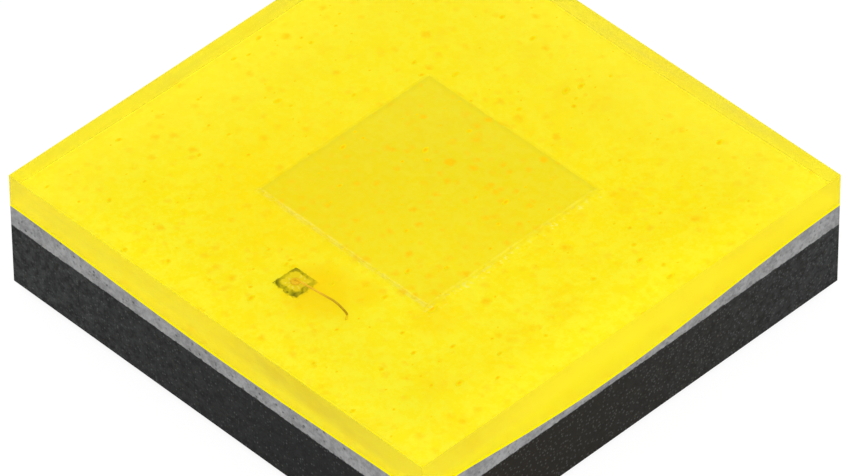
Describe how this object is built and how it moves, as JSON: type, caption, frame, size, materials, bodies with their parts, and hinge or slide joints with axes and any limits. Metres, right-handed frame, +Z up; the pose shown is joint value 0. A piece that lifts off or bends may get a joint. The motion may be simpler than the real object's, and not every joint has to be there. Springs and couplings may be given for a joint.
{
  "type": "surface-mount led",
  "caption": "Flat square surface-mount LED: black ceramic tile with solder pads, grey reflector layer, and a yellow phosphor coat over a flip chip under clear silicone.",
  "frame": {"origin": "middle of the package in plan, on the plane of the solder pads' undersides", "axes": "+Z up, the way the light leaves; +X from the cathode pad to the anode pad; +Y away from the side that has the protection diode"},
  "size_m": [0.0034, 0.0034, 0.0009],
  "materials": {
    "black_ceramic": "matt, sawn",
    "pad_plating": "matt gold plating on copper",
    "trace_copper": "gold plating on copper",
    "via_copper": "filled copper",
    "chip_crystal": "polished crystal",
    "chip_solder": "gold and tin solder",
    "diode_silicon": "sawn silicon with a bright metal pad",
    "silver_epoxy": "matt, filled with silver",
    "gold_wire": "drawn gold",
    "grey_silicone": "matt, sawn",
    "yellow_phosphor": "matt powder in silicone",
    "clear_silicone": "clear with a flat glossy top and sawn sides"
  },
  "bodies": {
    "root": {"ceramic_substrate": "black_ceramic", "cathode_pad": "pad_plating", "anode_pad": "pad_plating", "thermal_pad": "pad_plating", "cathode_vias": "via_copper", "anode_vias": "via_copper", "cathode_trace": "trace_copper", "anode_trace": "trace_copper", "led_chip": "chip_crystal", "chip_cathode_solder": "chip_solder", "chip_anode_solder": "chip_solder", "protection_diode": "diode_silicon", "diode_adhesive": "silver_epoxy", "bond_wire": "gold_wire", "reflector_layer": "grey_silicone", "phosphor_coat": "yellow_phosphor", "clear_slab": "clear_silicone"}
  },
  "joints": []
}
